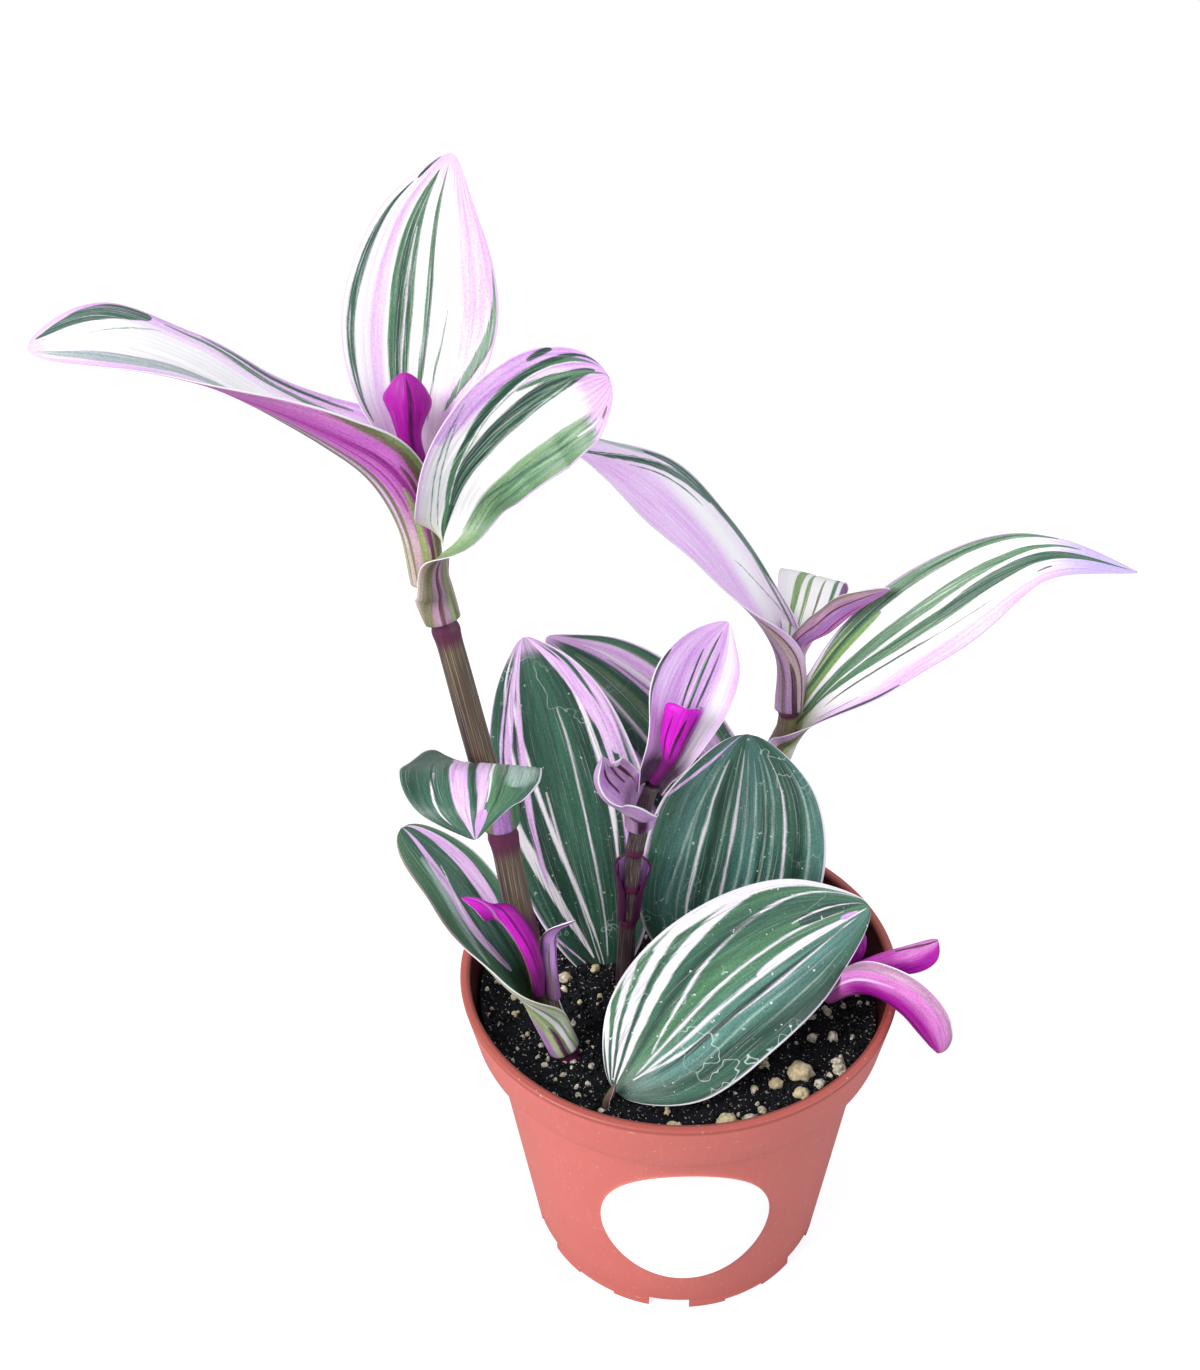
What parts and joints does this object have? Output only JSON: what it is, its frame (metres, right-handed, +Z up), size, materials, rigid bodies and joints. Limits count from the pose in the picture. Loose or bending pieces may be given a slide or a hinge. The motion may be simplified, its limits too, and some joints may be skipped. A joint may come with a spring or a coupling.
{
  "type": "potted tradescantia",
  "caption": "House plant with upright and leaning leafy shoots, striped pink, white and green leaves clasping the stems, in soil in a plain round nursery pot with a bare front label.",
  "frame": {"origin": "on the pot's axis, in the plane that the pot stands on", "axes": "+Z up along the pot's axis; the plant's front, with the label, faces -Y; the long top leaf reaches towards -X"},
  "size_m": [0.2097, 0.121, 0.2658],
  "materials": {
    "pot_plastic": "terracotta-coloured injection-moulded plastic, satin, slightly dusty",
    "label_paper": "white round vinyl label, left bare",
    "potting_soil": "dark peat soil with pale mineral grains",
    "stem_skin": "fleshy olive and purple-brown stem with purple rings at the nodes",
    "leaf_pink_striped": "white and lilac-pink leaf with lengthwise green stripes, satin",
    "leaf_green_striped": "blue-green leaf with thin white and pink lengthwise stripes, satin",
    "leaf_magenta": "magenta leaf underside with olive and pale lines, satin",
    "dried_bract": "small dried brown bract"
  },
  "bodies": {
    "root": {"pot": "pot_plastic", "label": "label_paper", "soil": "potting_soil", "bract": "dried_bract", "stem_a": "stem_skin", "stem_b": "stem_skin", "stem_c": "stem_skin", "stem_d": "stem_skin", "leaf_a1": "leaf_pink_striped", "leaf_a2": "leaf_pink_striped", "leaf_a3": "leaf_pink_striped", "leaf_b1": "leaf_pink_striped", "leaf_b2": "leaf_pink_striped", "leaf_b3": "leaf_pink_striped", "leaf_c5": "leaf_pink_striped", "leaf_c6": "leaf_pink_striped", "leaf_c1": "leaf_green_striped", "leaf_c2": "leaf_green_striped", "leaf_c3": "leaf_green_striped", "leaf_c4": "leaf_green_striped", "leaf_a4": "leaf_green_striped", "leaf_a5": "leaf_green_striped", "bud_a": "leaf_magenta", "bud_c": "leaf_magenta", "leaf_b4": "leaf_magenta", "shoot_e1": "leaf_magenta", "shoot_e2": "leaf_magenta", "sheath_c": "leaf_magenta", "leaf_d1": "leaf_magenta", "leaf_d2": "leaf_magenta", "leaf_d3": "leaf_magenta"}
  },
  "joints": []
}
